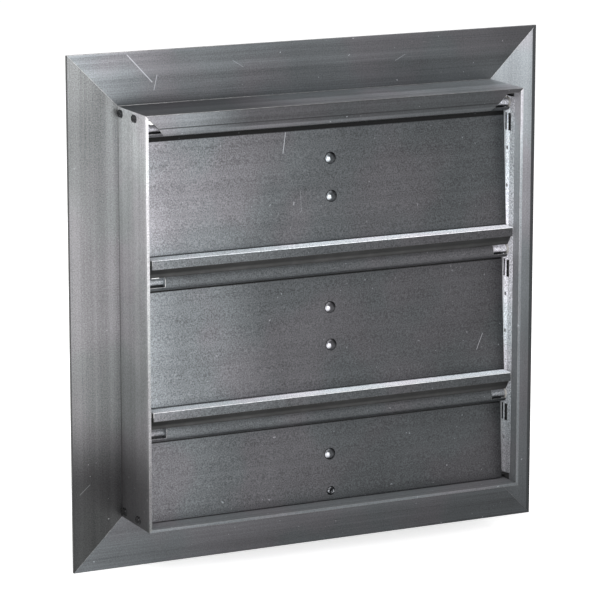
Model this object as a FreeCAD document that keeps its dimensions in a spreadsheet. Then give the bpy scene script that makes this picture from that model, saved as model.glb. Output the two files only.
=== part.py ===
import FreeCAD, Part
import math
import os
import re

import Sketcher
from FreeCAD import Placement, Rotation, Vector

# Gravity backdraft damper for a 12 inch square duct, blades closed.
# X runs along the blades, the discharge side faces -Y, +Z is up.
# The origin is the centre of the damper.

SIZES = {
    "flange_outside": 374.65,
    "sleeve": 298.45,
    "depth": 52.0,
    "wall": 2.1,
    "lip_wall": 1.6,
    "lip_face": 9.6,
    "lip_return_depth": 3.4,
    "lip_return_drop": 5.8,
    "notch_width": 13.0,
    "notch_rise": 3.2,
    "spline_radius": 2.5,
    "spline_web": 3.0,
    "spline_drop": 4.6,
    "front_spline": 20.6,
    "rear_spline": 46.2,
    "lug_length": 12.0,
    "screw_radius": 1.5,
    "screw_fit": 0.05,
    "screw_length": 11.0,
    "screw_head_radius": 2.9,
    "screw_head_height": 1.5,
    "screw_clearance": 0.25,
    "axis_depth": 16.4,
    "axis_drop": 12.0,
    "bottom_drop": 65.0,
    "bottom_clearance": 0.9,
    "sheet": 1.2,
    "roll_radius": 5.8,
    "roll_offset": 1.2,
    "window_length": 12.4,
    "window_drop": 2.7,
    "blade_gap": 3.4,
    "lean_slope": 0.068,
    "ledge_rise": 18.3,
    "ledge_depth": 10.0,
    "blade_lip": 6.7,
    "seal_gap": 0.3,
    "seal_web": 3.0,
    "seal_base": 3.6,
    "pin_radius": 2.7,
    "pin_fit": 0.05,
    "pin_end_gap": 0.4,
    "plug_length": 14.0,
    "collar_radius": 3.2,
    "collar_length": 5.0,
    "side_play": 0.3,
    "strip_width": 15.0,
    "strip_rise": 1.8,
    "strip_sheet": 0.8,
    "strip_end_gap": 0.3,
    "slot_width": 3.0,
    "slot_height": 13.0,
    "slot_rib": 2.4,
    "slot_drop": 14.5,
    "strip_rivet_radius": 1.4,
    "bush_radius": 3.5,
    "bush_flange_radius": 4.2,
    "bush_flange": 0.9,
    "rivet_side": 1.5,
    "rivet_upper": 31.0,
    "rivet_lower": 58.3,
    "rivet_radius": 1.5,
    "rivet_hole_fit": 0.25,
    "rivet_head_radius": 4.4,
    "rivet_head_height": 1.7,
    "rivet_tail_radius": 2.6,
    "rivet_tail_height": 1.2,
    "hollow_head_radius": 3.4,
    "hollow_bore_radius": 1.9,
    "bracket_width": 14.0,
    "bracket_sheet": 1.5,
    "bracket_margin": 5.5,
    "bracket_foot": 4.0,
    "link_reach": 18.0,
    "link_rise": 4.0,
    "ear_radius": 4.2,
    "link_gap": 0.5,
    "link_pin_radius": 1.9,
    "link_fit": 0.05,
    "link_head_radius": 3.0,
    "link_head_height": 1.0,
    "clip_radius": 3.3,
    "clip_sheet": 0.6,
    "bar_width": 6.5,
    "bar_sheet": 2.0,
    "stop_leg": 12.0,
    "stop_sheet": 1.5,
    "stop_gap": 0.3,
    "stop_notch_gap": 1.5,
    "stop_rivet_pitch": 60.0,
}

doc = FreeCAD.newDocument("BackdraftDamper")
sheet = doc.addObject("Spreadsheet::Sheet", "Sizes")
for row, (alias, number) in enumerate(SIZES.items(), start=1):
    sheet.set("A%d" % row, alias)
    sheet.set("B%d" % row, str(number))
    sheet.setAlias("B%d" % row, alias)
doc.recompute()

# Relations between the sizes, in the words of the sheet
PITCH = "((sleeve - axis_drop - wall - bottom_clearance - bottom_drop) / 2)"
INNER = "(sleeve / 2 - wall)"
FRONT = "(-depth / 2)"
AXIS_Y = "(axis_depth - depth / 2)"
BLADE_HALF = "(%s - blade_gap)" % INNER
ROLL_HALF = "(%s - window_length)" % BLADE_HALF
REAR_TOP = "(roll_radius - roll_offset)"
LEDGE_DROP = "(%s - ledge_rise)" % PITCH
LEVELS = ("top", "middle", "bottom")

# Size of the rough shapes that a sketch starts from before its dimensions are bound
ROUGH = 100.0

# Where the extra strip rivet sits between a pivot and the main rivet below it
UPPER_RIVET_SHARE = 0.55

# Where the seal wipes the roll below it, as angles up from the roll's front
SEAL_TOUCH = ("45 deg", "56 deg")

# Radii where the bands of a domed head meet, as shares of its full radius
DOME_BANDS = (1.0, 0.9, 0.68, 0.36)

SIDEWAYS = {"+X": Rotation(Vector(0, 1, 0), 90), "-X": Rotation(Vector(0, 1, 0), -90)}


def bound(text):
    """The relation with each size pointed at its cell."""
    return re.sub(r"[a-z_]+", lambda m: "Sizes." + m.group() if m.group() in SIZES else m.group(), text)


def size(alias):
    """The number that the sheet holds for a size."""
    return float(sheet.get(alias))


def axis_height(level):
    """Height of a blade's pivot axis."""
    return "(sleeve / 2 - axis_drop - %d * %s)" % (LEVELS.index(level), PITCH)


def rear_face(drop):
    """Depth of the leaning rear face of a blade at a drop below its axis."""
    return "(%s - lean_slope * %s)" % (REAR_TOP, drop)


def place(part, x="0", y="0", z="0"):
    """Bind the position of a part to the sizes."""
    for letter, text in (("x", x), ("y", y), ("z", z)):
        part.setExpression("Placement.Base." + letter, bound(text))
    return part


def new_body(label):
    body = doc.addObject("PartDesign::Body", label)
    body.Label = label
    return body


def sketch_on(body, role, offset="0"):
    """An empty sketch on one of the body's origin planes."""
    sketch = body.newObject("Sketcher::SketchObject", body.Label + "_sketch")
    plane = next(item for item in body.Origin.OriginFeatures if item.Role == role)
    sketch.AttachmentSupport = [(plane, "")]
    sketch.MapMode = "FlatFace"
    sketch.setExpression("AttachmentOffset.Base.z", bound(offset))
    return sketch


def drive(sketch, kind, *references, text):
    """Add one dimension to a sketch and bind it."""
    index = sketch.addConstraint(Sketcher.Constraint(kind, *references, 1.0))
    sketch.setExpression("Constraints[%d]" % index, bound(text))


def outline(sketch, corners):
    """A closed outline through corners given as pairs of relations."""
    first = sketch.GeometryCount
    count = len(corners)
    turns = [i * math.tau / count for i in range(count)]
    ring = [Vector(math.cos(turn), math.sin(turn), 0) * ROUGH for turn in turns]
    for i in range(count):
        sketch.addGeometry(Part.LineSegment(ring[i], ring[(i + 1) % count]), False)
    for i in range(count):
        sketch.addConstraint(Sketcher.Constraint("Coincident", first + i, 2, first + (i + 1) % count, 1))
    for i, (across, up) in enumerate(corners):
        drive(sketch, "DistanceX", -1, 1, first + i, 1, text=across)
        drive(sketch, "DistanceY", -1, 1, first + i, 1, text=up)
    return sketch


def circle(sketch, across, up, radius):
    """A circle whose centre and radius are relations."""
    index = sketch.addGeometry(Part.Circle(Vector(), Vector(0, 0, 1), ROUGH), False)
    drive(sketch, "DistanceX", -1, 1, index, 3, text=across)
    drive(sketch, "DistanceY", -1, 1, index, 3, text=up)
    drive(sketch, "Radius", index, text=radius)
    return sketch


def pad(sketch, length, symmetric=True):
    """Material along the normal of a sketch."""
    body = sketch.getParentGeoFeatureGroup()
    feature = body.newObject("PartDesign::Pad", body.Label + "_pad")
    feature.Profile = sketch
    feature.SideType = "Symmetric" if symmetric else "One side"
    feature.setExpression("Length", bound(length))
    return feature


def pocket(sketch, length):
    """A cut to both sides of a sketch."""
    body = sketch.getParentGeoFeatureGroup()
    feature = body.newObject("PartDesign::Pocket", body.Label + "_pocket")
    feature.Profile = sketch
    feature.SideType = "Symmetric"
    feature.setExpression("Length", bound(length))
    return feature


def rod(label, radius, length, x, y="0", z="0", toward="+X"):
    """A plain cylinder along X."""
    part = doc.addObject("Part::Cylinder", label)
    part.Placement = Placement(Vector(), SIDEWAYS[toward])
    part.setExpression("Radius", bound(radius))
    part.setExpression("Height", bound(length))
    return place(part, x, y, z)


def gather(kind, label, members):
    """Join members in a fuse or keep them as one group."""
    group = doc.addObject(kind, label)
    group.Label = label
    if kind == "Part::Compound":
        group.Links = members
    else:
        group.Shapes = members
    return group


def group_feature(label, shapes):
    """A node made of shapes that are revolved or swept by hand."""
    feature = doc.addObject("Part::Feature", label)
    feature.Label = label
    feature.Shape = Part.makeCompound(shapes)
    return feature


# Frame members


def mitre(body, near, far, steep):
    """Cut both ends of a member on the 45 degree lines through the centre."""
    sketch = sketch_on(body, "XZ_Plane")
    for across in ("", "-"):
        for up in ("", "-"):
            corner = (across + near, up + far) if steep else (across + far, up + near)
            outline(sketch, [(across + near, up + near), (across + far, up + far), corner])
    pocket(sketch, "2 * depth")


def spline_row(body, side):
    """Rear screw spline over the whole width and front lugs at the two ends."""
    sign = "" if side == "head" else "-"
    height = "(sleeve / 2 - spline_drop)"
    for centre, start, length in (
        ("rear_spline - depth / 2", "0", "2 * " + INNER),
        ("front_spline - depth / 2", "%s - lug_length / 2" % INNER, "lug_length"),
        ("front_spline - depth / 2", "lug_length / 2 - " + INNER, "lug_length"),
    ):
        web = sketch_on(body, "YZ_Plane", start)
        outline(web, [
            ("%s - spline_web / 2" % centre, sign + height),
            ("%s + spline_web / 2" % centre, sign + height),
            ("%s + spline_web / 2" % centre, sign + "(sleeve / 2 - wall / 2)"),
            ("%s - spline_web / 2" % centre, sign + "(sleeve / 2 - wall / 2)"),
        ])
        pad(web, length)
        pad(circle(sketch_on(body, "YZ_Plane", start), centre, sign + height, "spline_radius"), length)
    bores = sketch_on(body, "YZ_Plane")
    for centre in ("rear_spline - depth / 2", "front_spline - depth / 2"):
        circle(bores, centre, sign + height, "screw_radius + screw_fit")
    pocket(bores, "2 * sleeve")


def head_frame():
    body = new_body("head_frame")
    outline(sketch_on(body, "YZ_Plane"), [
        (FRONT, "sleeve / 2"),
        ("depth / 2 - wall", "sleeve / 2"),
        ("depth / 2 - wall", "flange_outside / 2"),
        ("depth / 2", "flange_outside / 2"),
        ("depth / 2", INNER),
        (FRONT + " + lip_wall", INNER),
        (FRONT + " + lip_wall", "sleeve / 2 - lip_face"),
        (FRONT + " + lip_wall + lip_return_depth", "sleeve / 2 - lip_face - lip_return_drop"),
        (FRONT + " + lip_return_depth", "sleeve / 2 - lip_face - lip_return_drop"),
        (FRONT, "sleeve / 2 - lip_face"),
    ])
    pad(body.Group[-1], "flange_outside")
    mitre(body, "(sleeve / 2 - lip_face - 2 * lip_return_drop)", "(flange_outside / 2 + wall)", False)
    reach = "(lip_face + 2 * lip_return_drop)"
    notch = sketch_on(body, "XZ_Plane", "depth / 2")
    outline(notch, [
        ("sleeve / 2 - notch_width", "sleeve / 2 - notch_rise"),
        ("sleeve / 2 + wall", "sleeve / 2 - notch_rise"),
        ("sleeve / 2 + wall", "sleeve / 2 - " + reach),
        ("sleeve / 2 - notch_width - %s + notch_rise" % reach, "sleeve / 2 - " + reach),
    ])
    pocket(notch, "4 * lip_return_depth")
    spline_row(body, "head")
    return body


def sill_frame():
    body = new_body("sill_frame")
    outline(sketch_on(body, "YZ_Plane"), [
        (FRONT, "-sleeve / 2"),
        ("depth / 2 - wall", "-sleeve / 2"),
        ("depth / 2 - wall", "-flange_outside / 2"),
        ("depth / 2", "-flange_outside / 2"),
        ("depth / 2", "-" + INNER),
        (FRONT, "-" + INNER),
    ])
    pad(body.Group[-1], "flange_outside")
    mitre(body, "(sleeve / 2 - 3 * wall)", "(flange_outside / 2 + wall)", False)
    spline_row(body, "sill")
    return body


def jamb(label, sign):
    body = new_body(label)
    outline(sketch_on(body, "XY_Plane"), [
        (sign + INNER, FRONT),
        (sign + "sleeve / 2", FRONT),
        (sign + "sleeve / 2", "depth / 2 - wall"),
        (sign + "flange_outside / 2", "depth / 2 - wall"),
        (sign + "flange_outside / 2", "depth / 2"),
        (sign + INNER, "depth / 2"),
    ])
    pad(body.Group[-1], "flange_outside")
    mitre(body, "(sleeve / 2 - 3 * wall)", "(flange_outside / 2 + wall)", True)
    holes = sketch_on(body, "YZ_Plane", sign + "sleeve / 2")
    for centre in ("front_spline - depth / 2", "rear_spline - depth / 2"):
        for up in ("", "-"):
            circle(holes, centre, up + "(sleeve / 2 - spline_drop)", "screw_radius + screw_clearance")
    pocket(holes, "4 * wall")
    return body


# Revolved fasteners


def domed(head_radius, head_height, shank_radius, shank_length, bore_radius=0.0):
    """A domed head above the origin with its shank below, along +Z."""
    steepness = head_height / (1 - DOME_BANDS[-1] ** 2)
    outline = [Vector(0, 0, -shank_length), Vector(shank_radius, 0, -shank_length), Vector(shank_radius, 0, 0)]
    outline += [Vector(head_radius * band, 0, steepness * (1 - band ** 2)) for band in DOME_BANDS]
    outline.append(Vector(0, 0, head_height))
    section = Part.Face(Part.makePolygon(outline, True))
    fastener = section.revolve(Vector(0, 0, 0), Vector(0, 0, 1), 360)
    if bore_radius:
        mouth = Part.makeCylinder(bore_radius, head_height, Vector(0, 0, head_height / 3))
        length = head_height + shank_length
        through = Part.makeCylinder(bore_radius / 2, length, Vector(0, 0, -shank_length))
        fastener = fastener.cut(mouth).cut(through)
    return fastener


def turned(shape, position, direction):
    """A copy of a +Z shape that stands at a position and points a given way."""
    copy = shape.copy()
    copy.Placement = Placement(position, Rotation(Vector(0, 0, 1), direction))
    return copy


def corner_screws():
    head_radius, head_height = size("screw_head_radius"), size("screw_head_height")
    screw = domed(head_radius, head_height, size("screw_radius"), size("screw_length"))
    side = size("sleeve") / 2
    height = size("sleeve") / 2 - size("spline_drop")
    copies = []
    for across in (-1, 1):
        for up in (1, -1):
            for depth in (size("front_spline"), size("rear_spline")):
                seat = Vector(across * side, depth - size("depth") / 2, up * height)
                copies.append(turned(screw, seat, Vector(across, 0, 0)))
    return group_feature("corner_screws", copies)


# Pivot strips and bushings


def pitch_size():
    """The pivot pitch as a number."""
    free = size("sleeve") - size("axis_drop") - size("bottom_drop")
    return (free - size("wall") - size("bottom_clearance")) / 2


def axis_heights():
    top = size("sleeve") / 2 - size("axis_drop")
    return [top - step * pitch_size() for step in range(len(LEVELS))]


def strip_end():
    """Height where the strips end, just inside the screw lugs."""
    return size("sleeve") / 2 - size("spline_drop") - size("spline_radius") - size("strip_end_gap")


def strip_rivet_heights():
    """Two rivets below the slots of each pivot, as far as the strip reaches."""
    middle = (pitch_size() + size("slot_drop")) / 2
    drops = (middle * UPPER_RIVET_SHARE, middle)
    heights = [height - drop for height in axis_heights() for drop in drops]
    return [height for height in heights if height > -strip_end()]


def pivot_strip(label, sign):
    """A bowed strip along a jamb: arc section, pin holes, slots and rivet holes."""
    wall_face = size("sleeve") / 2 - size("wall")
    axis_y = size("axis_depth") - size("depth") / 2
    half = size("strip_width") / 2
    rise = size("strip_rise")
    inset = size("strip_sheet")

    def bow(reach, height):
        near, far = [Vector(sign * wall_face, axis_y + step * reach, -strip_end()) for step in (-1, 1)]
        crest = Vector(sign * (wall_face - height), axis_y, -strip_end())
        return Part.Arc(near, crest, far).toShape()

    outer = bow(half, rise)
    inner = bow(half - 2 * inset, rise - inset)
    sides = [Part.makeLine(outer.Vertexes[i].Point, inner.Vertexes[i].Point) for i in (0, 1)]
    section = Part.Face(Part.Wire([outer, sides[1], inner, sides[0]]))
    strip = section.extrude(Vector(0, 0, 2 * strip_end()))
    across = Vector(sign, 0, 0)
    for height in axis_heights():
        centre = Vector(sign * (wall_face - 2 * rise), axis_y, height)
        hole = size("bush_radius") + size("pin_fit")
        strip = strip.cut(Part.makeCylinder(hole, 3 * rise, centre, across))
        for side in (-1, 1):
            middle = axis_y + side * (size("slot_rib") + size("slot_width")) / 2
            start = min(sign * wall_face, sign * (wall_face - 2 * rise))
            foot = height - size("slot_drop") - size("slot_height") / 2
            low = Vector(start, middle - size("slot_width") / 2, foot)
            strip = strip.cut(Part.makeBox(2 * rise, size("slot_width"), size("slot_height"), low))
    for height in strip_rivet_heights():
        centre = Vector(sign * (wall_face - 2 * rise), axis_y, height)
        strip = strip.cut(Part.makeCylinder(size("strip_rivet_radius"), 3 * rise, centre, across))
    feature = doc.addObject("Part::Feature", label)
    feature.Label = label
    feature.Shape = strip
    return feature


def strip_rivets():
    wall_face = size("sleeve") / 2 - size("wall")
    axis_y = size("axis_depth") - size("depth") / 2
    radius, length = size("strip_rivet_radius"), size("strip_rise")
    studs = []
    for sign in (-1, 1):
        for height in strip_rivet_heights():
            foot = Vector(sign * wall_face, axis_y, height)
            studs.append(Part.makeCylinder(radius, length, foot, Vector(-sign, 0, 0)))
    return group_feature("strip_rivets", studs)


def bushings(label, sign):
    """Three flanged bushings whose flanges sit on the crest of the strip."""
    toward = "-X" if sign == "" else "+X"
    rings = []
    for level in LEVELS:
        name = "%s_%s" % (label, level)
        height = axis_height(level)
        solid = gather("Part::MultiFuse", name + "_solid", [
            rod(name + "_barrel", "bush_radius", "strip_rise + bush_flange / 2", sign + INNER,
                AXIS_Y, height, toward),
            rod(name + "_flange", "bush_flange_radius", "bush_flange", sign + "(%s - strip_rise)" % INNER,
                AXIS_Y, height, toward),
        ])
        ring = doc.addObject("Part::Cut", name)
        ring.Base = solid
        ring.Tool = rod(name + "_bore", "pin_radius + pin_fit", "2 * (strip_rise + bush_flange)",
                        sign + INNER, AXIS_Y, height, toward)
        rings.append(ring)
    return gather("Part::Compound", label, rings)


# Sill stop behind the bottom blade

STOP_DROP = "(bottom_drop + bottom_clearance - stop_leg)"
STOP_FACE = "(%s + %s + stop_gap)" % (AXIS_Y, rear_face(STOP_DROP))
STOP_HALF = "(%s - lug_length - stop_gap)" % INNER


def sill_stop():
    """An angle that the bottom blade rests against, notched for the bracket."""
    body = new_body("sill_stop")
    floor = "-" + INNER
    outline(sketch_on(body, "YZ_Plane"), [
        (STOP_FACE, floor),
        (STOP_FACE + " + stop_leg", floor),
        (STOP_FACE + " + stop_leg", floor + " + stop_sheet"),
        (STOP_FACE + " + stop_sheet", floor + " + stop_sheet"),
        (STOP_FACE + " + stop_sheet", floor + " + stop_leg"),
        (STOP_FACE, floor + " + stop_leg"),
    ])
    pad(body.Group[-1], "2 * " + STOP_HALF)
    notch = sketch_on(body, "XZ_Plane")
    half = "(bracket_width / 2 + stop_notch_gap)"
    outline(notch, [
        ("rivet_side - " + half, floor + " + stop_sheet"),
        ("rivet_side + " + half, floor + " + stop_sheet"),
        ("rivet_side + " + half, floor + " + 2 * stop_leg"),
        ("rivet_side - " + half, floor + " + 2 * stop_leg"),
    ])
    pocket(notch, "2 * depth")
    return body


def stop_rivets():
    """Domed rivet heads along the foot of the stop."""
    drop = size("bottom_drop") + size("bottom_clearance") - size("stop_leg")
    face = size("axis_depth") - size("depth") / 2 + size("roll_radius") - size("roll_offset")
    face += size("stop_gap") - size("lean_slope") * drop
    middle = face + (size("stop_sheet") + size("stop_leg")) / 2
    floor = size("wall") + size("stop_sheet") - size("sleeve") / 2
    radius, rise = size("rivet_tail_radius"), size("rivet_tail_height")
    rivet = domed(radius, rise, size("rivet_radius"), size("stop_sheet") / 2)
    head = rivet.common(Part.makeCylinder(radius, rise))
    seats = [Vector(step * size("stop_rivet_pitch"), middle, floor) for step in (-1.5, -0.5, 0.5, 1.5)]
    return group_feature("stop_rivets", [turned(head, seat, Vector(0, 0, 1)) for seat in seats])


# Blades, drawn around their pivot axis and then placed on it


def on_axis(part, level):
    return place(part, "0", AXIS_Y, axis_height(level))


def blade(level):
    """A folded sheet with a rolled top edge, and a ledge and lip on the upper blades."""
    body = new_body(level + "_blade")
    last = level == LEVELS[-1]
    drop = "bottom_drop" if last else LEDGE_DROP
    front = "(%s - sheet)" % rear_face(drop)
    if last:
        foot = [(rear_face(drop), "-" + drop), (front, "-" + drop)]
    else:
        under = "(%s + sheet)" % drop
        tip = "(%s + blade_lip)" % drop
        foot = [
            (rear_face(under), "-" + under),
            (front + " - ledge_depth + sheet", "-" + under),
            (front + " - ledge_depth + sheet", "-" + tip),
            (front + " - ledge_depth", "-" + tip),
            (front + " - ledge_depth", "-" + drop),
            (front, "-" + drop),
        ]
    outline(sketch_on(body, "YZ_Plane"), [(REAR_TOP, "0")] + foot + [(REAR_TOP + " - sheet", "0")])
    pad(body.Group[-1], "2 * " + BLADE_HALF)
    roll = sketch_on(body, "YZ_Plane")
    circle(roll, "-roll_offset", "0", "roll_radius")
    circle(roll, "-roll_offset", "0", "roll_radius - sheet")
    pad(roll, "2 * " + BLADE_HALF)
    windows = sketch_on(body, "XZ_Plane")
    for side in ("", "-"):
        outline(windows, [
            (side + ROLL_HALF, "-window_drop"),
            (side + INNER, "-window_drop"),
            (side + INNER, "2 * roll_radius"),
            (side + ROLL_HALF, "2 * roll_radius"),
        ])
    pocket(windows, "4 * roll_radius")
    holes = sketch_on(body, "XZ_Plane")
    for height in ("rivet_upper", "rivet_lower"):
        circle(holes, "rivet_side", "-" + height, "rivet_radius + rivet_hole_fit")
    pocket(holes, "4 * roll_radius")
    return on_axis(body, level)


def blade_pins(level):
    """Two turned pins: a plug in the roll, a shoulder collar and the journal."""
    label = level + "_blade_pins"
    pins = []
    for side, sign, toward in (("left", "-", "-X"), ("right", "", "+X")):
        name = "%s_%s" % (label, side)
        plug_start = "(%s - plug_length)" % ROLL_HALF
        tip = "(%s - pin_end_gap)" % INNER
        collar_end = "(%s - strip_rise - bush_flange - side_play)" % INNER
        pins.append(gather("Part::MultiFuse", name, [
            rod(name + "_plug", "roll_radius - sheet - pin_fit", "plug_length", sign + plug_start,
                "-roll_offset", toward=toward),
            rod(name + "_journal", "pin_radius", "%s - %s" % (tip, plug_start), sign + plug_start,
                toward=toward),
            rod(name + "_collar", "collar_radius", "collar_length",
                sign + "(%s - collar_length)" % collar_end, toward=toward),
        ]))
    return on_axis(gather("Part::Compound", label, pins), level)


def blade_seal(level):
    """A flexible strip under the ledge that wipes the roll of the blade below."""
    body = new_body(level + "_blade_seal")
    under = "(%s + sheet)" % LEDGE_DROP
    lip = "(%s - ledge_depth)" % rear_face(LEDGE_DROP)
    reach = "(roll_radius + seal_gap)"
    edge = [("-roll_offset - %s * cos(%s)" % (reach, turn), "%s * sin(%s) - %s" % (reach, turn, PITCH))
            for turn in SEAL_TOUCH]
    outline(sketch_on(body, "YZ_Plane"), [
        (lip, "-" + under),
        (lip, "-(%s + seal_base)" % under),
        *edge,
        (lip + " + seal_web", "-(%s + seal_base - sheet / 2)" % under),
        (lip + " + seal_web", "-" + under),
    ])
    pad(body.Group[-1], "2 * " + BLADE_HALF)
    return on_axis(body, level)


def blade_bracket(level):
    """A plate on the back of the blade with a web that carries the link pin."""
    body = new_body(level + "_blade_bracket")
    high = "(rivet_upper - bracket_margin)"
    low = "(rivet_lower + bracket_margin)"
    plate = sketch_on(body, "YZ_Plane", "rivet_side")
    outline(plate, [
        (rear_face(high), "-" + high),
        (rear_face(low), "-" + low),
        (rear_face(low) + " + bracket_sheet", "-" + low),
        (rear_face(high) + " + bracket_sheet", "-" + high),
    ])
    pad(plate, "bracket_width")
    web_side = "(rivet_side + bracket_width / 2 - bracket_sheet)"
    web = sketch_on(body, "YZ_Plane", web_side)
    outline(web, [
        (rear_face(low), "-" + low),
        (rear_face(low) + " + bracket_foot", "-" + low),
        ("link_reach + ear_radius", "link_rise"),
        ("link_reach - ear_radius", "link_rise"),
        (rear_face(high), "-" + high),
    ])
    pad(web, "bracket_sheet", False)
    ear = circle(sketch_on(body, "YZ_Plane", web_side), "link_reach", "link_rise", "ear_radius")
    pad(ear, "bracket_sheet", False)
    bore = circle(sketch_on(body, "YZ_Plane"), "link_reach", "link_rise", "link_pin_radius + link_fit")
    pocket(bore, "4 * bracket_width")
    holes = sketch_on(body, "XZ_Plane")
    for height in ("rivet_upper", "rivet_lower"):
        circle(holes, "rivet_side", "-" + height, "rivet_radius + rivet_hole_fit")
    pocket(holes, "4 * roll_radius")
    return on_axis(body, level)


def blade_rivets(level):
    """Two rivets square to the leaning sheet; the lowest one on the damper is hollow."""
    lean = math.atan(size("lean_slope"))
    outward = Vector(0, -math.cos(lean), math.sin(lean))
    grip = size("sheet") + size("bracket_sheet")
    fasteners = []
    for name in ("rivet_upper", "rivet_lower"):
        drop = size(name)
        hollow = level == LEVELS[-1] and name == "rivet_lower"
        head_radius = size("hollow_head_radius") if hollow else size("rivet_head_radius")
        bore = size("hollow_bore_radius") if hollow else 0.0
        rivet = domed(head_radius, size("rivet_head_height"), size("rivet_radius"), grip, bore)
        tail = Part.makeCylinder(size("rivet_tail_radius"), size("rivet_tail_height"),
                                 Vector(0, 0, -grip - size("rivet_tail_height")))
        front = size("roll_radius") - size("roll_offset") - size("sheet") - size("lean_slope") * drop
        seat = Vector(size("rivet_side"), front, -drop)
        fasteners.append(turned(rivet.fuse(tail), seat, outward))
    return on_axis(group_feature(level + "_blade_rivets", fasteners), level)


WEB_FACE = "(rivet_side + bracket_width / 2)"


def link_pin(level):
    """A headed pin through the bracket and the tie bar."""
    label = level + "_link_pin"
    head_seat = "(%s - bracket_sheet)" % WEB_FACE
    pin = gather("Part::MultiFuse", label, [
        rod(label + "_head", "link_head_radius", "link_head_height", head_seat + " - link_head_height",
            "link_reach", "link_rise"),
        rod(label + "_shank", "link_pin_radius", "bracket_sheet + 2 * (link_gap + clip_sheet) + bar_sheet",
            head_seat, "link_reach", "link_rise"),
    ])
    return on_axis(pin, level)


def link_clip(level):
    """A push-on ring that keeps the tie bar on its pin."""
    label = level + "_link_clip"
    start = "(%s + 2 * link_gap + bar_sheet)" % WEB_FACE
    clip = doc.addObject("Part::Cut", label)
    clip.Label = label
    clip.Base = rod(label + "_disc", "clip_radius", "clip_sheet", start, "link_reach", "link_rise")
    clip.Tool = rod(label + "_hole", "link_pin_radius", "clip_sheet", start, "link_reach", "link_rise")
    return on_axis(clip, level)


def tie_bar():
    """A flat bar with round ends and one hole for each link pin."""
    body = new_body("tie_bar")
    start = "(%s + link_gap)" % WEB_FACE
    foot = "(link_rise - 2 * %s)" % PITCH
    flat = sketch_on(body, "YZ_Plane", start)
    outline(flat, [
        ("link_reach - bar_width / 2", "link_rise"),
        ("link_reach + bar_width / 2", "link_rise"),
        ("link_reach + bar_width / 2", foot),
        ("link_reach - bar_width / 2", foot),
    ])
    pad(flat, "bar_sheet", False)
    for height in ("link_rise", foot):
        end = circle(sketch_on(body, "YZ_Plane", start), "link_reach", height, "bar_width / 2")
        pad(end, "bar_sheet", False)
    holes = sketch_on(body, "YZ_Plane", start)
    for step in range(len(LEVELS)):
        circle(holes, "link_reach", "link_rise - %d * %s" % (step, PITCH), "link_pin_radius + link_fit")
    pocket(holes, "4 * bar_sheet")
    return on_axis(body, "top")


def build():
    """Every node of the damper."""
    nodes = [head_frame(), sill_frame(), jamb("left_jamb", "-"), jamb("right_jamb", "")]
    nodes += [corner_screws(), pivot_strip("left_pivot_strip", -1), pivot_strip("right_pivot_strip", 1)]
    nodes += [strip_rivets(), bushings("left_bushings", "-"), bushings("right_bushings", "")]
    nodes += [sill_stop(), stop_rivets(), tie_bar()]
    for level in LEVELS:
        nodes += [blade(level), blade_pins(level), blade_bracket(level), blade_rivets(level)]
        nodes += [link_pin(level), link_clip(level)]
        if level != LEVELS[-1]:
            nodes.append(blade_seal(level))
    doc.recompute()
    return nodes


def write(nodes):
    """Check every object and write one file for each node."""
    for item in doc.Objects:
        if "Invalid" in item.State or "Error" in item.State:
            raise RuntimeError("%s did not build" % item.Label)
    os.makedirs("parts", exist_ok=True)
    for node in nodes:
        if node.Shape.isNull() or not node.Shape.isValid():
            raise RuntimeError("%s has no valid shape" % node.Label)
        node.Shape.exportStep("parts/%s.step" % node.Label)
        print("%s: %d solid, %.0f mm3" % (node.Label, len(node.Shape.Solids), node.Shape.Volume))


write(build())
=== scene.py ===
import math
from typing import NamedTuple

import bmesh
import bpy
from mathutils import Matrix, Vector


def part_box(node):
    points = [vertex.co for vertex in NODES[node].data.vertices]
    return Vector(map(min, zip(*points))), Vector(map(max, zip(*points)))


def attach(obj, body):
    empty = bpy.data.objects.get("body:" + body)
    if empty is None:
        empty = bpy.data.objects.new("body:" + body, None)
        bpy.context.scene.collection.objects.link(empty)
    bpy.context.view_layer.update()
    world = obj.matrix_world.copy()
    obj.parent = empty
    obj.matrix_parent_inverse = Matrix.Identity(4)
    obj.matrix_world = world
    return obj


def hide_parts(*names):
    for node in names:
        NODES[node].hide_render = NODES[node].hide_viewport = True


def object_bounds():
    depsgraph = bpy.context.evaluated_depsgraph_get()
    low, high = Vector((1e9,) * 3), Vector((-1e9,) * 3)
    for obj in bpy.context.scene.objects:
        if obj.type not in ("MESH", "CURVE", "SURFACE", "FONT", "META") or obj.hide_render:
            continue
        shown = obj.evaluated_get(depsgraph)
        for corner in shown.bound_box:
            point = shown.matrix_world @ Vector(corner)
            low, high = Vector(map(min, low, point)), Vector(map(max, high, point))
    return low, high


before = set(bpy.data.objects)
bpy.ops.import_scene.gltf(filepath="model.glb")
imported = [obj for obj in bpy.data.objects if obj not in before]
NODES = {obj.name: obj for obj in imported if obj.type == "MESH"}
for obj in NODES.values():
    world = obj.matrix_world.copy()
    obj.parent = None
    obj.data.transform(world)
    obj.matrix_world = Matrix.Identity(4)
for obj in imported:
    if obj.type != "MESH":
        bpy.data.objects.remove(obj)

# Sizes are in metres, in the frame of the CAD model: X to the right, the viewer at minus Y, Z up.

MM = 0.001
CAD_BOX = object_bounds()
HALF = CAD_BOX[1].x
FRONT = CAD_BOX[0].y

# Half the sleeve's width, the place of the flange's face, and the front edges of the frame's walls
SLEEVE = 149.225 * MM
FLANGE_FACE = 23.9 * MM
FRONT_LIP = ("Y", FRONT - MM, FRONT + 1.8 * MM)

# Sizes of a blade round its pivot axis, and the places of the three axes and of the blades' lower ends
LEVELS = ("top", "middle", "bottom")
ROLL = 5.8 * MM
BLADE_LIP = 6.7 * MM
AXIS_Y = -9.6 * MM
AXES = {level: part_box(f"{level}_blade")[1].z - ROLL for level in LEVELS}
TIPS = {level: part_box(f"{level}_blade")[0].z for level in LEVELS}

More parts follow.
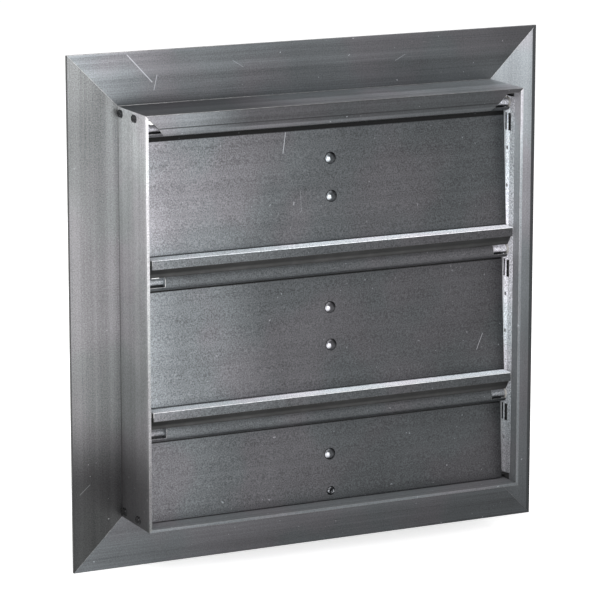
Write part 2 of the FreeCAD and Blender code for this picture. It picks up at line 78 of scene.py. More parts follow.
# Sizes of a corner screw in millimetres: its head, shank and pointed end
HEAD_RADIUS = 2.9
HEAD_HEIGHT = 1.5
RIM_HEIGHT = 0.15
RIM_INSET = 0.1
SHANK_RADIUS = 1.5
SHANK_LENGTH = 11.0
POINT_RADIUS = 0.4
POINT_LENGTH = 1.5
CROWN_STEPS = 14
TURN_STEPS = 48

# Sizes of its cross recess in millimetres. The recess lies above the crown's foot, within reach of the
# head's middle, and gets painted shade where it is deeper than the shaded depth.
RECESS_ARM = 2.0
RECESS_HALF_SLOT = 0.55
RECESS_DEPTH = 1.1
RECESS_WALL = 0.15
RECESS_TAPER = 0.45
CROWN_FOOT = 0.2
HEAD_REACH = 3.0
RECESS_SHADE_DEPTH = 0.25

# Width in Y of the rows by which the points of the CAD screws are sorted
SCREW_ROW = 12 * MM

# Camera, fitted to the corners of the fixed frame in a square picture
CAMERA_PLACE = Vector((-1.0627, -2.1647, 0.5217))
CAMERA_YAW = math.radians(25.75)
CAMERA_PITCH = math.radians(12.19)
CAMERA_LENS = 204.63
CAMERA_SENSOR = 36.0
CAMERA_REACH = (0.05, 50.0)

# Strengths of the white world and of the floor's glow, for the rays that light the object and for those
# that show the background
WORLD_LIGHT = 0.5
WORLD_SEEN = 1.0
FLOOR_LIGHT = 0.0
FLOOR_SEEN = 0.6

# Half the floor's width, its gap under the object, and its finish
FLOOR_HALF = 6.0
FLOOR_GAP = 0.2 * MM
FLOOR_GREY = (0.82, 0.82, 0.82, 1.0)
FLOOR_ROUGH = 0.9

# Tints of the metals and the nylon, as red, green and blue shares of a grey
TEAL = (0.93, 1.0, 1.06)
MAUVE = (0.995, 0.985, 1.06)
SILVER = (0.97, 1.0, 1.01)
PEWTER = (1.0, 0.985, 1.02)
PLAIN = (1.0, 1.0, 1.0)
WARM = (1.03, 1.0, 0.96)
WHITE = (1.0, 1.0, 1.0, 1.0)

# Scales of a metal's noises: along and across its grain, then its mottle, clouds, tints and specks
ALONG_GRAIN = 9.0
ACROSS_GRAIN = 1300.0
MOTTLE_SCALE = 1050.0
CLOUD_SCALE = 15.0
TINT_SCALE = 13.0
SPECK_SCALE = 330.0

# How many times as wide as the finest drawn lines the bands and the streaks are
BAND_WIDTH = 6
STREAK_WIDTH = 16

# How much the clouds and lines change the roughness, and the mottle the height
CLOUD_ROUGH = 0.05
LINE_ROUGH = 0.04
MOTTLE_HEIGHT = 0.3

# Grey of bare metal in specks and scratches, and the finish of dusty faces
WORN_GREY = 0.75
DUST_ROUGH = 0.75
DUST_METALLIC = 0.1

# Split edges closer than this are closed, and edges are rounded where faces meet at more than the angle
WELD_GAP = 0.002 * MM
FLAT_ANGLE = math.radians(0.4)
SHARP_ANGLE = math.radians(34)
LARGE_FACE_WEIGHT = 90

# Numbers of the Mix node's sockets, which share their names
MIX_FACTOR = 0
MIX_NUMBERS = (2, 3)
MIX_VECTORS = (4, 5)
MIXED_VECTOR = 1


class Patch(NamedTuple):
    """Display greys of a metal along an axis. They cover all of it, or only the faces that point one way,
    the places between two on an axis with soft ends, or both. Turn is how squarely a face points that
    way where the patch starts to show, and where it shows in full. Greys that fall from one side of a
    part to the other, or that differ by the way a face points, are painted light and shade."""

    greys: tuple
    run: str = "X"
    facing: str | tuple = ""
    span: tuple = ()
    soft: float = 0.3 * MM
    turn: tuple = (0.45, 0.75)


class Scratch(NamedTuple):
    """A straight scratch on the front, from one X and Z to another, with its width, in millimetres."""

    start: tuple
    end: tuple
    width: float
    strength: float


class Blade(NamedTuple):
    """What tells the blades' metals apart: greys of the panel, the pins and the lower end, how far below
    the axis the roll's shade reaches, whether a ledge and lip end the blade, and the scratches. The greys
    are painted light: the panels and lower ends brighter at the left, and all brighter on higher blades."""

    panel: tuple
    pin: tuple
    lower_end: tuple
    shade: float
    has_ledge: bool = True
    scratches: tuple = ()


BLADES = {
    "top": Blade(
        panel=(188, 116, 87, 75, 70, 69),
        pin=(225, 210, 215),
        lower_end=(130, 94, 73, 63, 57),
        shade=9.9 * MM,
        scratches=(
            Scratch((-33.3, 126.8), (-35.8, 112.4), 0.4, 0.5),
            Scratch((-23.0, 84.0), (-22.5, 70.0), 0.3, 0.15),
        ),
    ),
    "middle": Blade(
        panel=(176, 112, 77, 69, 65, 64),
        pin=(160, 190, 212),
        lower_end=(124, 90, 72, 63, 57),
        shade=8.1 * MM,
        scratches=(Scratch((126.0, -34.0), (120.8, -45.6), 0.35, 0.35),),
    ),
    "bottom": Blade(
        panel=(108, 92, 75, 67, 63, 62),
        pin=(136, 136, 150),
        lower_end=(108, 84, 70),
        shade=8.1 * MM,
        has_ledge=False,
    ),
}


class Shader:
    """A node material with one Principled shader, and short calls that add its nodes."""

    def __init__(self, name, metallic, specular=0.5):
        self.material = bpy.data.materials.new(name)
        self.material.use_nodes = True
        self.tree = self.material.node_tree
        self.surface = self.tree.nodes["Principled BSDF"]
        self.give("Metallic", metallic)
        self.give("Specular IOR Level", specular)
        self.coordinates = self.add("ShaderNodeTexCoord")
        self.place = self.coordinates.outputs["Object"]

    def add(self, kind, **settings):
        node = self.tree.nodes.new(kind)
        for key, value in settings.items():
            setattr(node, key, value)
        return node

    def feed(self, socket, value):
        """Gives a socket a plain value or another node's output."""
        if isinstance(value, bpy.types.NodeSocket):
            self.tree.links.new(value, socket)
        else:
            socket.default_value = value

    def give(self, name, value):
        """Feeds the surface's socket of this name."""
        self.feed(self.surface.inputs[name], value)

    def math(self, operation, first, second, clamp=False):
        node = self.add("ShaderNodeMath", operation=operation, use_clamp=clamp)
        self.feed(node.inputs[0], first)
        self.feed(node.inputs[1], second)
        return node.outputs[0]

    def plus(self, first, second):
        return self.math("ADD", first, second)

    def times(self, first, second):
        return self.math("MULTIPLY", first, second)

    def vector(self, operation, first, second):
        node = self.add("ShaderNodeVectorMath", operation=operation)
        self.feed(node.inputs[0], first)
        self.feed(node.inputs[1], second)
        return node.outputs["Value" if operation in ("DOT_PRODUCT", "DISTANCE") else "Vector"]

    def scaled(self, vector, factor):
        node = self.add("ShaderNodeVectorMath", operation="SCALE")
        self.feed(node.inputs["Vector"], vector)
        self.feed(node.inputs["Scale"], factor)
        return node.outputs["Vector"]

    def remap(self, value, low, high, to_low=0.0, to_high=1.0, smooth=True):
        """The value with low to high stretched to the other two, and held at them beyond."""
        node = self.add("ShaderNodeMapRange", interpolation_type="SMOOTHSTEP" if smooth else "LINEAR")
        self.feed(node.inputs["Value"], value)
        self.feed(node.inputs["From Min"], low)
        self.feed(node.inputs["From Max"], high)
        self.feed(node.inputs["To Min"], to_low)
        self.feed(node.inputs["To Max"], to_high)
        return node.outputs["Result"]

    def blend(self, share, first, second):
        """The first number where share is 0, and the second where it is 1."""
        node = self.add("ShaderNodeMix", data_type="FLOAT")
        self.feed(node.inputs[MIX_FACTOR], share)
        self.feed(node.inputs[MIX_NUMBERS[0]], first)
        self.feed(node.inputs[MIX_NUMBERS[1]], second)
        return node.outputs[0]

    def tints(self, share, first, second):
        """The first tint where share is 0, and the second where it is 1."""
        node = self.add("ShaderNodeMix", data_type="VECTOR")
        self.feed(node.inputs[MIX_FACTOR], share)
        self.feed(node.inputs[MIX_VECTORS[0]], first)
        self.feed(node.inputs[MIX_VECTORS[1]], second)
        return node.outputs[MIXED_VECTOR]

    def noise(self, scale, detail=3.0, rough=0.55, stretch=(1.0, 1.0, 1.0)):
        mapping = self.add("ShaderNodeMapping")
        self.feed(mapping.inputs["Vector"], self.place)
        self.feed(mapping.inputs["Scale"], stretch)
        node = self.add("ShaderNodeTexNoise")
        self.feed(node.inputs["Vector"], mapping.outputs["Vector"])
        self.feed(node.inputs["Scale"], scale)
        self.feed(node.inputs["Detail"], detail)
        self.feed(node.inputs["Roughness"], rough)
        return node.outputs["Fac"]

    def uneven(self, scale, detail, rough, stretch=(1.0, 1.0, 1.0), amount=1.0):
        """A noise that runs evenly about 0, from minus amount to amount."""
        noise = self.noise(scale, detail, rough, stretch)
        return self.remap(noise, 0.3, 0.7, -amount, amount, smooth=False)

    def drawn(self, grain, width, detail, rough, amount=1.0):
        """An uneven noise in long lines along the grain, width times as wide as the finest."""
        stretch = [(ALONG_GRAIN if axis == grain else ACROSS_GRAIN) / width for axis in "XYZ"]
        return self.uneven(1.0, detail, rough, stretch, amount)

    def ramp(self, share, values):
        """A grey that runs through the values in equal steps as share goes from 0 to 1."""
        node = self.add("ShaderNodeValToRGB")
        stops = node.color_ramp
        stops.interpolation = "EASE"
        while len(stops.elements) < len(values):
            stops.elements.new(0.5)
        for index, value in enumerate(values):
            stops.elements[index].position = index / (len(values) - 1)
            stops.elements[index].color = (value, value, value, 1.0)
        self.feed(node.inputs["Fac"], share)
        return node.outputs["Color"]

    def along(self, axis):
        """The place on one axis of the object."""
        node = self.add("ShaderNodeSeparateXYZ")
        self.feed(node.inputs["Vector"], self.place)
        return node.outputs[axis]

    def facing(self, way, turn=(0.45, 0.75)):
        """1 on the faces that point a way, such as -Y or a direction, and 0 where they turn from it."""
        share = self.vector("DOT_PRODUCT", self.coordinates.outputs["Normal"], direction(way))
        return self.remap(share, *turn)

    def between(self, axis, low, high, soft):
        """1 between two places on an axis, with soft ends."""
        place = self.along(axis)
        above = self.remap(place, low - soft, low + soft)
        below = self.remap(place, high + soft, high - soft)
        return self.times(above, below)

    def patch(self, below, patch):
        """A patch of greys, spread from one side of the part to the other, over the tone below it."""
        share = self.remap(self.along(patch.run), -HALF, HALF, smooth=False)
        value = self.ramp(share, [linear(grey) for grey in patch.greys])
        if below is None:
            return value
        mask = self.facing(patch.facing, patch.turn) if patch.facing else 1.0
        if patch.span:
            mask = self.times(mask, self.between(*patch.span, patch.soft))
        return self.blend(mask, below, value)

    def tone(self, patches):
        """The first patch all over, and the others laid over it in turn."""
        value = None
        for patch in patches:
            value = self.patch(value, patch)
        return value

    def line(self, scratch):
        """1 on a scratch, as seen from the front, fading to 0 over its width."""
        start = Vector((scratch.start[0], 0.0, scratch.start[1])) * MM
        run = Vector((scratch.end[0], 0.0, scratch.end[1])) * MM - start
        flat = self.vector("MULTIPLY", self.place, (1.0, 0.0, 1.0))
        offset = self.vector("SUBTRACT", flat, start)
        reach = self.vector("DOT_PRODUCT", offset, run)
        share = self.math("DIVIDE", reach, run.length_squared, clamp=True)
        distance = self.vector("DISTANCE", offset, self.scaled(run, share))
        return self.remap(distance, scratch.width * MM, 0.0)

    def worn(self, specks, scratches):
        """How far specks and scratches have worn the metal to bare grey."""
        spots = self.noise(SPECK_SCALE, detail=2.0, rough=0.5)
        worn = self.remap(spots, 0.72, 0.78, to_high=specks)
        if scratches:
            front = self.facing("-Y", turn=(0.2, 0.5))
        for scratch in scratches:
            mark = self.times(self.line(scratch), front)
            worn = self.math("MAXIMUM", worn, self.times(mark, scratch.strength))
        return worn

    def bump(self, height, strength, distance):
        node = self.add("ShaderNodeBump")
        self.feed(node.inputs["Strength"], strength)
        self.feed(node.inputs["Distance"], distance)
        self.feed(node.inputs["Height"], height)
        self.give("Normal", node.outputs["Normal"])


def direction(way):
    """A direction from an axis with its sign, such as -Y, or from its three parts."""
    if not isinstance(way, str):
        return Vector(way).normalized()
    sign = -1.0 if way[0] == "-" else 1.0
    return Vector([sign if axis == way[1] else 0.0 for axis in "XYZ"])


def linear(grey):
    """The linear value of a display grey from 0 to 255."""
    share = grey / 255
    return share / 12.92 if share <= 0.04045 else ((share + 0.055) / 1.055) ** 2.4


def metal(name, patches, grain="X", brush=0.12, mottle=0.25, cloud=0.1, streak=0.0, rough=0.4,
          metallic=0.75, scratches=(), specks=0.3, dusty="", cast=(TEAL, MAUVE)):
    """Mill-finish metal: drawn lines along an axis, fine mottle, clouds, streaks, specks and scratches,
    and a cast that drifts between two tints, over greys from patches that paint most of its light and
    shade. The faces that point the dusty way are dull, not bright."""
    shader = Shader(name, metallic)
    lines = shader.drawn(grain, width=1, detail=4.0, rough=0.6)
    bands = shader.drawn(grain, BAND_WIDTH, detail=2.0, rough=0.5, amount=0.6)
    streaks = shader.drawn(grain, STREAK_WIDTH, detail=3.0, rough=0.6)
    grains = shader.uneven(MOTTLE_SCALE, detail=2.0, rough=0.6)
    clouds = shader.uneven(CLOUD_SCALE, detail=4.0, rough=0.6)
    spread = shader.times(shader.plus(lines, bands), brush)
    for noise, amount in ((grains, mottle), (clouds, cloud), (streaks, streak)):
        spread = shader.plus(spread, shader.times(noise, amount))
    base = shader.times(shader.tone(patches), shader.plus(spread, 1.0))
    bright = shader.blend(shader.worn(specks, scratches), base, WORN_GREY)
    drift = shader.remap(shader.noise(TINT_SCALE, detail=2.0, rough=0.5), 0.44, 0.58)
    shader.give("Base Color", shader.scaled(shader.tints(drift, *cast), bright))
    dull = shader.plus(shader.times(clouds, CLOUD_ROUGH), rough)
    dull = shader.plus(dull, shader.times(lines, LINE_ROUGH))
    if dusty:
        share = shader.facing(dusty)
        dull = shader.blend(share, dull, DUST_ROUGH)
        shader.give("Metallic", shader.blend(share, metallic, DUST_METALLIC))
    shader.give("Roughness", dull)
    height = shader.plus(shader.times(lines, brush), shader.times(grains, mottle * MOTTLE_HEIGHT))
    shader.bump(height, strength=0.3, distance=0.06 * MM)
    return shader.material


def edge_metal(name, patches):
    """The edges of a metal piece, worn bare and with a painted highlight: brighter and smoother than its
    faces, with nicks.
    """
    shader = Shader(name, metallic=0.8)
    dents = shader.noise(260.0, detail=3.0, rough=0.7)
    nicks = shader.remap(dents, 0.35, 0.7, to_low=0.6, to_high=1.15)
    bright = shader.times(shader.tone(patches), nicks)
    shader.give("Base Color", shader.scaled(PLAIN, bright))
    shader.give("Roughness", shader.remap(shader.noise(500.0), 0.3, 0.7, to_low=0.28, to_high=0.42))
    shader.bump(shader.noise(700.0), strength=0.3, distance=0.05 * MM)
    return shader.material


def nylon(name, grey):
    """Off-white moulded bushings with a fine grain and dust."""
    shader = Shader(name, metallic=0.0, specular=0.4)
    dust_and_shade = shader.noise(300.0, detail=4.0, rough=0.6)
    dust = shader.remap(dust_and_shade, 0.35, 0.75, to_low=1.0, to_high=0.72)
    bright = shader.times(dust, linear(grey))
    shader.give("Base Color", shader.scaled(WARM, bright))
    shader.give("Roughness", shader.remap(shader.noise(900.0), 0.3, 0.7, to_low=0.45, to_high=0.6))
    shader.bump(shader.noise(1500.0), strength=0.2, distance=0.04 * MM)
    return shader.material


def rubber(name, axis):
    """Dark seal strip with fine drawn lines, and painted light that makes it paler from the axis of the
    roll below up to 7.2 mm above it.
    """
    shader = Shader(name, metallic=0.0, specular=0.3)
    lines = shader.noise(1.0, detail=3.0, rough=0.6, stretch=(20.0, 1800.0, 1800.0))
    clouds = shader.noise(60.0, detail=4.0, rough=0.6)
    bloom = shader.remap(clouds, 0.4, 0.75, to_low=1.0, to_high=1.5)
    lit_band_span = ("Z", axis, axis + 7.2 * MM)
    grey = shader.tone((Patch((44, 38, 38)), Patch((88, 74, 66), span=lit_band_span, soft=MM)))
    lined = shader.times(shader.plus(lines, 0.5), bloom)
    shader.give("Base Color", shader.scaled(PLAIN, shader.times(lined, grey)))
    shader.give("Roughness", shader.remap(lines, 0.3, 0.7, to_low=0.6, to_high=0.8))
    shader.bump(lines, strength=0.3, distance=0.05 * MM)
    return shader.material


def dress(node, face, edge=None, bevel=0.25 * MM):
    """Gives a CAD node its material and closes its split edges, and rounds them if they get a material."""
    piece = NODES[node]
    for polygon in piece.data.polygons:
        polygon.use_smooth = True
    piece.material_slots[0].material = face
    weld = piece.modifiers.new("weld", "WELD")
    weld.merge_threshold = WELD_GAP
    if edge is not None:
        piece.data.materials.append(edge)
        round_edges(piece, bevel)


def round_edges(piece, bevel):
    """Joins a piece's flat facets, rounds its sharp edges in its last material, and evens the shading."""
    join = piece.modifiers.new("join", "DECIMATE")
    join.decimate_type = "DISSOLVE"
    join.angle_limit = FLAT_ANGLE
    rounding = piece.modifiers.new("rounding", "BEVEL")
    rounding.width = bevel
    rounding.segments = 2
    rounding.limit_method = "ANGLE"
    rounding.angle_limit = SHARP_ANGLE
    rounding.use_clamp_overlap = True
    rounding.material = len(piece.data.materials) - 1
    shading = piece.modifiers.new("flat", "WEIGHTED_NORMAL")
    shading.weight = LARGE_FACE_WEIGHT
    shading.keep_sharp = False


def head():
    """The head with its drooping lip, painted with light and shade: brighter at the left, its top face
    lighter towards the right, its front edges brighter at the left, painted shade where its wall meets
    the flange, a painted shade line along the lip's fold, and brighter edges.
    """
    crease_shade_span = ("Z", 139.1 * MM, 139.9 * MM)
    wall_shade_span = ("Z", SLEEVE - 4 * MM, SLEEVE + 4 * MM)
    aluminium = metal("head_aluminium", (
        Patch((148, 106, 88, 78, 66)),
        Patch((84, 78, 80, 74, 62), span=wall_shade_span, soft=4 * MM),
        Patch((52, 84, 140, 158, 174), facing="+Z"),
        Patch((144, 118, 68, 62, 62, 61, 70), facing="-Y", span=FRONT_LIP),
        Patch((70, 48, 40, 40, 40), span=crease_shade_span, soft=0.25 * MM),
    ), grain="X", brush=0.16, mottle=0.22, streak=0.24, scratches=(
        Scratch((-141.6, 185.0), (-122.7, 164.7), 0.55, 0.55),
        Scratch((-121.3, 158.9), (-118.9, 169.4), 0.5, 0.4),
        Scratch((-60.0, 176.0), (-52.0, 171.0), 0.35, 0.2),
        Scratch((70.0, 168.0), (78.0, 172.0), 0.35, 0.2),
    ))
    rim = edge_metal("head_edge", (Patch((215, 150, 120, 120, 130)),))
    dress("head_frame", aluminium, rim)


def sill():
    """The sill and the stop behind the bottom blade, with dust on what faces up, and painted light:
    darker towards the right, and lighter on the top faces and front edges.
    """
    aluminium = metal("sill_aluminium", (
        Patch((100, 92, 84, 76, 64)),
        Patch((112, 100, 96), facing="+Z"),
        Patch((110, 98, 88), facing="-Y", span=FRONT_LIP),
    ), grain="X", brush=0.16, mottle=0.2, streak=0.14, dusty="+Z")
    rim = edge_metal("sill_edge", (Patch((132, 116, 104)),))
    dress("sill_frame", aluminium, rim)
    dress("sill_stop", aluminium, rim)


def jambs():
    """Left and right jamb, with die lines up their length, painted light that is brighter towards the top,
    and painted shade on the walls behind the pivot strips.
    """
    strip_shade_span = ("Y", AXIS_Y - 6 * MM, AXIS_Y + 6 * MM)
    dress("left_jamb", left_jamb_metal(strip_shade_span), left_jamb_rim(), 0.3 * MM)
    dress("right_jamb", right_jamb_metal(strip_shade_span), right_jamb_rim(), 0.3 * MM)


def left_jamb_metal(strip_shade_span):
    """The left jamb's faces, with painted light brighter towards the top and on the outer wall and front
    edges, a painted shade line where the outer wall meets the flange, a dark outer rim, and painted shade
    behind the pivot strip.
    """
    flange_corner_shade = ("Y", FLANGE_FACE - 0.9 * MM, FLANGE_FACE - 0.1 * MM)
    outer = ("X", -HALF - MM, -HALF + 0.5 * MM)
    return metal("left_jamb_aluminium", (
        Patch((58, 56, 114, 130, 127, 122, 132), "Z"),
        Patch((74, 84, 134, 146, 168, 198, 205), "Z", facing="-X"),
        Patch((92, 104, 144, 166, 186, 206, 212), "Z", facing="-Y", span=FRONT_LIP),
        Patch((40, 44, 60, 70, 80), "Z", facing="-X", span=flange_corner_shade, soft=0.2 * MM),
        Patch((50, 50, 60), "Z", span=outer),
        Patch((24, 26, 30), "Z", facing="+X", span=strip_shade_span),
    ), grain="Z", brush=0.12, mottle=0.3, cloud=0.1, streak=0.18, scratches=(
        Scratch((-181.7, -129.5), (-173.9, -123.0), 0.5, 0.12),
    ), cast=(SILVER, PEWTER))


def left_jamb_rim():
    outer = ("X", -HALF - MM, -HALF + 1.2 * MM)
    return edge_metal("left_jamb_edge", (
        Patch((88, 104, 144, 176, 200, 218, 222), "Z"),
        Patch((60, 60, 70), "Z", span=outer),
    ))


def right_jamb_metal(strip_shade_span):
    """The right jamb's faces, with painted light brighter towards the top and on the front edges, a dark
    outer rim, dust on the wall that faces inward, and painted shade behind the pivot strip.
    """
    outer = ("X", HALF - 2.8 * MM, HALF + MM)
    return metal("right_jamb_aluminium", (
        Patch((68, 78, 86, 100, 124, 150, 164), "Z"),
        Patch((78, 90, 98, 112, 134, 160, 174), "Z", facing="-X"),
        Patch((94, 98, 110, 122, 150, 190, 205), "Z", facing="-Y", span=FRONT_LIP),
        Patch((46, 52, 60), "Z", span=outer),
        Patch((24, 26, 30), "Z", facing="-X", span=strip_shade_span),
    ), grain="Z", brush=0.08, mottle=0.22, cloud=0.08, streak=0.16, dusty="-X")


def right_jamb_rim():
    outer = ("X", HALF - 2.2 * MM, HALF + MM)
    return edge_metal("right_jamb_edge", (
        Patch((100, 120, 150, 180, 210, 230, 235), "Z"),
        Patch((46, 52, 60), "Z", span=outer),
    ))


def strips():
    """Bowed pivot strips with their bushings, and the flush rivets of the strips and the stop. Strips,
    rivets and edges are painted brighter towards the top as painted light.
    """
    # Painted light and shade: the back part of the bow is painted lighter, its ridge gets a painted
    # highlight, and the walls of its slots get painted shade.
    slot_shade_span = ("Y", AXIS_Y - 4.6 * MM, AXIS_Y + 4.6 * MM)
    crest_highlight_span = ("Y", AXIS_Y - 3 * MM, AXIS_Y + 2 * MM)
    behind = ("Y", AXIS_Y + 2 * MM, AXIS_Y + 9 * MM)
    strip = metal("strip_metal_bright", (
        Patch((96, 118, 162, 190, 180, 168, 168), "Z"),
        Patch((98, 120, 176, 204, 200, 194, 196), "Z", span=behind, soft=MM),
        Patch((120, 136, 204, 244, 252, 255, 252), "Z", span=crest_highlight_span, soft=MM),
        Patch((30, 32, 36), "Z", facing="-Y", span=slot_shade_span),
    ), grain="Z", brush=0.12, mottle=0.6, cloud=0.15, rough=0.36, dusty="-X")
    rim = edge_metal("strip_edge", (Patch((90, 110, 150, 180, 190), "Z"),))
    rivet = metal("flush_rivet_metal", (Patch((90, 100, 120), "Z"),), grain="Y", rough=0.4)
    bush = nylon("bushing_nylon_grey", 175)
    for side in ("left", "right"):
        dress(f"{side}_pivot_strip", strip, rim, 0.15 * MM)
        dress(f"{side}_bushings", bush, bush, 0.15 * MM)
    dress("strip_rivets", rivet, rivet, 0.1 * MM)
    dress("stop_rivets", rivet, rivet, 0.1 * MM)


def blade_sheet(level, blade):
    """A blade's metal, painted with light and shade: its panel and roll brighter at the left, painted
    shade under the roll, and on the upper blades the lip, the ledge above it with a painted highlight, and
    a painted shade line above that."""
    axis = AXES[level]
    tip = TIPS[level]
    ledge = tip + BLADE_LIP
    roll = ("Z", axis - ROLL, axis + 2 * ROLL)
    underside = ("Z", axis - blade.shade, axis - ROLL)
    ledge_shade_span = ("Z", ledge + 0.2 * MM, ledge + 1.2 * MM)
    lit_ledge_span = ("Z", ledge - 0.5 * MM, ledge + 0.2 * MM)
    patches = [
        Patch(blade.panel),
        Patch((120, 86, 76, 71, 69), span=roll),
        Patch((16, 12, 12, 12, 14), span=underside),
    ]
    if blade.has_ledge:
        patches += [
            Patch((70, 50, 46, 44, 42), span=ledge_shade_span, soft=0.2 * MM),
            Patch(blade.lower_end, span=("Z", tip - MM, ledge)),
            Patch((140, 206, 255, 252, 248), span=lit_ledge_span, soft=0.1 * MM),
        ]
    return metal(f"{level}_blade_aluminium", patches, grain="X", brush=0.09, mottle=0.45, cloud=0.14,
                 scratches=blade.scratches, specks=0.2, dusty="+Z")


def blade_rim(level, blade):
    """The edges of a blade, worn bare and with a painted highlight: bright at the ledge, darker at the
    lower end, and with painted shade near the axis.
    """
    tip = TIPS[level]
    axis_shade_span = ("Y", AXIS_Y - 4 * MM, AXIS_Y + 4 * MM)
    return edge_metal(f"{level}_blade_edge", (
        Patch((220, 220, 215, 205, 195)),
        Patch(blade.lower_end, span=("Z", tip - MM, tip + 3 * MM)),
        Patch((70, 56, 50, 48, 46), span=axis_shade_span),
    ))


def blade_pin(level, blade):
    """A pin's dull steel with painted light: bright on top, and painted shade below where its roll shades
    it.
    """
    axis = AXES[level]
    shaded = ("Z", axis - 6 * MM, axis - 1.5 * MM)
    return metal(f"{level}_pin_steel_dull", (
        Patch(blade.pin),
        Patch((84, 76, 76), span=shaded, soft=0.5 * MM),
    ), grain="X", brush=0.1, mottle=0.5, rough=0.55, metallic=0.5)


def rivet_dome():
    """The blades' polished rivets, with painted shade towards the upper right and a painted highlight on
    the left.
    """
    return metal("rivet_dome", (
        Patch((80, 68, 62)),
        Patch((38, 34, 32), facing=(0.7, -0.45, 0.55), turn=(0.62, 0.92)),
        Patch((196, 190, 184), facing=(-0.42, -0.9, -0.04), turn=(0.92, 1.0)),
    ), grain="Y", brush=0.03, mottle=0.08, rough=0.3, metallic=1.0)


def blades():
    """Three rolled blades with their pins and rivets, and the seals of the upper two."""
    dome = rivet_dome()
    for level, blade in BLADES.items():
        pins = blade_pin(level, blade)
        dress(f"{level}_blade", blade_sheet(level, blade), blade_rim(level, blade), 0.5 * MM)
        dress(f"{level}_blade_pins", pins, pins, 0.15 * MM)
        dress(f"{level}_blade_rivets", dome)
    dress("top_blade_seal", rubber("upper_seal_dark", AXES["middle"]))
    dress("middle_blade_seal", rubber("lower_seal_dark", AXES["bottom"]))


def linkage():
    """The brackets behind the blades, the link pins with their clips, and the tie bar."""
    steel = metal("pin_steel", (Patch((190, 180, 190)),), grain="X", brush=0.1, mottle=0.3, rough=0.4)
    mill = metal("linkage_mill", (Patch((140, 130, 122)),), grain="Z", brush=0.12, mottle=0.2)
    rim = edge_metal("linkage_edge", (Patch((200, 190, 180)),))
    for level in LEVELS:
        dress(f"{level}_blade_bracket", mill, rim, 0.15 * MM)
        dress(f"{level}_link_pin", steel, steel, 0.1 * MM)
        dress(f"{level}_link_clip", steel, steel, 0.08 * MM)
    dress("tie_bar", mill, rim, 0.15 * MM)


def screw_rings():
    """Radius and height of the rings of a pan-head screw, from the middle of its head to its tip."""
    crown = []
    for step in range(CROWN_STEPS):
        share = step / CROWN_STEPS
        crown.append((HEAD_RADIUS * share, HEAD_HEIGHT * (1 - share ** 3)))
    rim = [(HEAD_RADIUS, RIM_HEIGHT), (HEAD_RADIUS - RIM_INSET, 0.0)]
    shank = [(SHANK_RADIUS, 0.0), (SHANK_RADIUS, POINT_LENGTH - SHANK_LENGTH)]
    point = [(POINT_RADIUS, -SHANK_LENGTH), (0.0, -SHANK_LENGTH)]
    return crown + rim + shank + point


def recess_depth(across, up):
    """Depth of the cross recess at a point of the head, with steep walls and arms that get shallower."""
    reach = max(abs(across), abs(up))
    aside = min(abs(across), abs(up))
    in_slot = min(max((RECESS_HALF_SLOT - aside) / RECESS_WALL + 0.5, 0.0), 1.0)
    in_arm = min(max((RECESS_ARM - reach) / RECESS_WALL, 0.0), 1.0)
    taper = 1 - RECESS_TAPER * reach / RECESS_ARM
    return RECESS_DEPTH * (in_slot * in_arm) * taper


def cross_screw(mesh, seat, side):
    """A pan-head screw with a cross recess, added to mesh with its head's underside at seat."""
    layers = []
    for radius, height in screw_rings():
        ring = []
        for step in range(TURN_STEPS if radius else 1):
            angle = 2 * math.pi * step / TURN_STEPS
            across = radius * math.cos(angle)
            up = radius * math.sin(angle)
            sink = recess_depth(across, up) if height > CROWN_FOOT else 0.0
            ring.append(mesh.verts.new(seat + Vector((side * (height - sink), across, up)) * MM))
        layers.append(ring)
    for inner, outer in zip(layers, layers[1:]):
        for step in range(TURN_STEPS):
            after = (step + 1) % TURN_STEPS
            corners = (
                inner[step % len(inner)],
                outer[step % len(outer)],
                outer[after % len(outer)],
                inner[after % len(inner)],
            )
            mesh.faces.new(list(dict.fromkeys(corners)))


def screw_seats():
    """Side of the part and middle of a head's underside for each row of the CAD screws' points at a
    corner. The borders between the rows cut through the CAD screws, so each of the eight gets two seats,
    2.9 mm apart, and two heads that overlap."""
    seats = {}
    for vertex in NODES["corner_screws"].data.vertices:
        key = (vertex.co.x > 0, round(vertex.co.y / SCREW_ROW), vertex.co.z > 0)
        seats.setdefault(key, []).append(vertex.co)
    for (right, _, _), points in seats.items():
        side = 1 if right else -1
        middle = [(max(values) + min(values)) / 2 for values in zip(*points)]
        yield side, Vector((side * SLEEVE, middle[1], middle[2]))


def in_recess(point, seats):
    """Whether a point of a head's face lies deep enough in the cross recess of the first seat that is near
    it to get painted shade.
    """
    for side, seat in seats:
        across = (point.y - seat.y) / MM
        up = (point.z - seat.z) / MM
        near = abs(across) < HEAD_REACH and abs(up) < HEAD_REACH
        if near and side * point.x > SLEEVE + CROWN_FOOT * MM:
            return recess_depth(across, up) > RECESS_SHADE_DEPTH
    return False


def corner_screws():
    """Pan-head screws, painted darker towards the bottom, with painted shade in their cross recesses, on
    the seats found for the CAD screws.
    """
    steel = metal("screw_steel_dark", (Patch((26, 34, 46), "Z"),), grain="Z", brush=0.05, mottle=0.6)
    dust_and_shade = metal("screw_recess_painted_shade", (Patch((6, 8, 10), "Z"),), grain="Z", brush=0.05, mottle=0.2,
                  rough=0.7, metallic=0.2, specks=0.0)
    seats = list(screw_seats())
    heads = bmesh.new()
    for side, seat in seats:
        cross_screw(heads, seat, side)
    bmesh.ops.recalc_face_normals(heads, faces=heads.faces)
    data = bpy.data.meshes.new("cross_recess_screws")
    heads.to_mesh(data)
    heads.free()
    data.materials.append(steel)
    data.materials.append(dust_and_shade)
    for polygon in data.polygons:
        polygon.use_smooth = True
        polygon.material_index = 1 if in_recess(polygon.center, seats) else 0
    piece = add_object("cross_recess_screws", data)
    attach(piece, "frame")
    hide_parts("corner_screws")


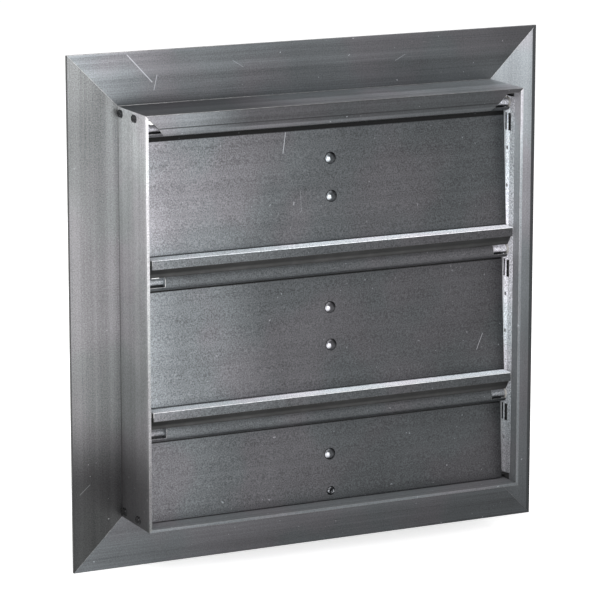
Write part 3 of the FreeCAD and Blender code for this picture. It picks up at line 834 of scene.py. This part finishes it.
def add_object(name, data):
    """A new object of the scene that shows the data."""
    piece = bpy.data.objects.new(name, data)
    bpy.context.scene.collection.objects.link(piece)
    return piece


def strength(tree, light, seen):
    """One strength for the rays that light the object, and another for those from the camera, in mirrors
    or through glass."""
    path = tree.nodes.new("ShaderNodeLightPath")
    share = path.outputs["Is Camera Ray"]
    for name in ("Is Glossy Ray", "Is Transmission Ray"):
        greater = tree.nodes.new("ShaderNodeMath")
        greater.operation = "MAXIMUM"
        tree.links.new(share, greater.inputs[0])
        tree.links.new(path.outputs[name], greater.inputs[1])
        share = greater.outputs[0]
    level = tree.nodes.new("ShaderNodeMapRange")
    tree.links.new(share, level.inputs["Value"])
    level.inputs["To Min"].default_value = light
    level.inputs["To Max"].default_value = seen
    return level.outputs["Result"]


def white_world():
    """A white background that lights the object at a plain level."""
    world = bpy.data.worlds.new("studio")
    bpy.context.scene.world = world
    world.use_nodes = True
    tree = world.node_tree
    background = tree.nodes["Background"]
    background.inputs["Color"].default_value = WHITE
    tree.links.new(strength(tree, WORLD_LIGHT, WORLD_SEEN), background.inputs["Strength"])


def floor():
    """A plain pale floor under the object."""
    half = FLOOR_HALF
    height = CAD_BOX[0].z - FLOOR_GAP
    corners = [(-half, -half, height), (half, -half, height), (half, half, height), (-half, half, height)]
    data = bpy.data.meshes.new("floor")
    data.from_pydata(corners, [], [(0, 1, 2, 3)])
    material = bpy.data.materials.new("floor_white")
    material.use_nodes = True
    tree = material.node_tree
    surface = tree.nodes["Principled BSDF"]
    surface.inputs["Base Color"].default_value = FLOOR_GREY
    surface.inputs["Roughness"].default_value = FLOOR_ROUGH
    surface.inputs["Emission Color"].default_value = WHITE
    tree.links.new(strength(tree, FLOOR_LIGHT, FLOOR_SEEN), surface.inputs["Emission Strength"])
    data.materials.append(material)
    piece = add_object("floor", data)


def lamp(name, place, aim, size, power):
    """A square soft lamp at place that points at aim."""
    data = bpy.data.lights.new(name, "AREA")
    data.size = size
    data.energy = power
    piece = add_object(name, data)
    piece.location = place
    piece.rotation_mode = "QUATERNION"
    piece.rotation_quaternion = (Vector(aim) - Vector(place)).to_track_quat("-Z", "Y")


def lights():
    """The studio's lamps, each with its place, the point that it aims at, its size and its power."""
    lamp("key", (-0.9, -1.3, 1.1), (-0.05, 0.0, 0.02), 0.7, 12.0)
    lamp("front", (-0.35, -1.5, -0.02), (0.0, 0.0, 0.02), 0.7, 12.0)
    lamp("side", (-2.0, 0.2, 0.5), (-0.15, 0.0, 0.05), 1.0, 16.0)
    lamp("top", (0.1, -0.9, 1.6), (0.0, 0.0, 0.0), 0.8, 9.0)
    lamp("fill", (1.5, -1.6, 0.6), (0.0, 0.0, 0.0), 1.2, 3.0)
    lamp("back", (-0.6, 1.6, 1.0), (0.0, 0.0, 0.0), 1.0, 12.0)


def camera():
    """The camera at the photograph's place, without roll or shift."""
    data = bpy.data.cameras.new("camera")
    data.sensor_width = CAMERA_SENSOR
    data.lens = CAMERA_LENS
    data.clip_start, data.clip_end = CAMERA_REACH
    piece = add_object("camera", data)
    piece.location = CAMERA_PLACE
    piece.rotation_euler = (math.pi / 2 - CAMERA_PITCH, 0.0, -CAMERA_YAW)
    bpy.context.scene.camera = piece


head()
sill()
jambs()
strips()
blades()
linkage()
corner_screws()
white_world()
floor()
lights()
camera()
bpy.context.scene.view_settings.view_transform = "Standard"
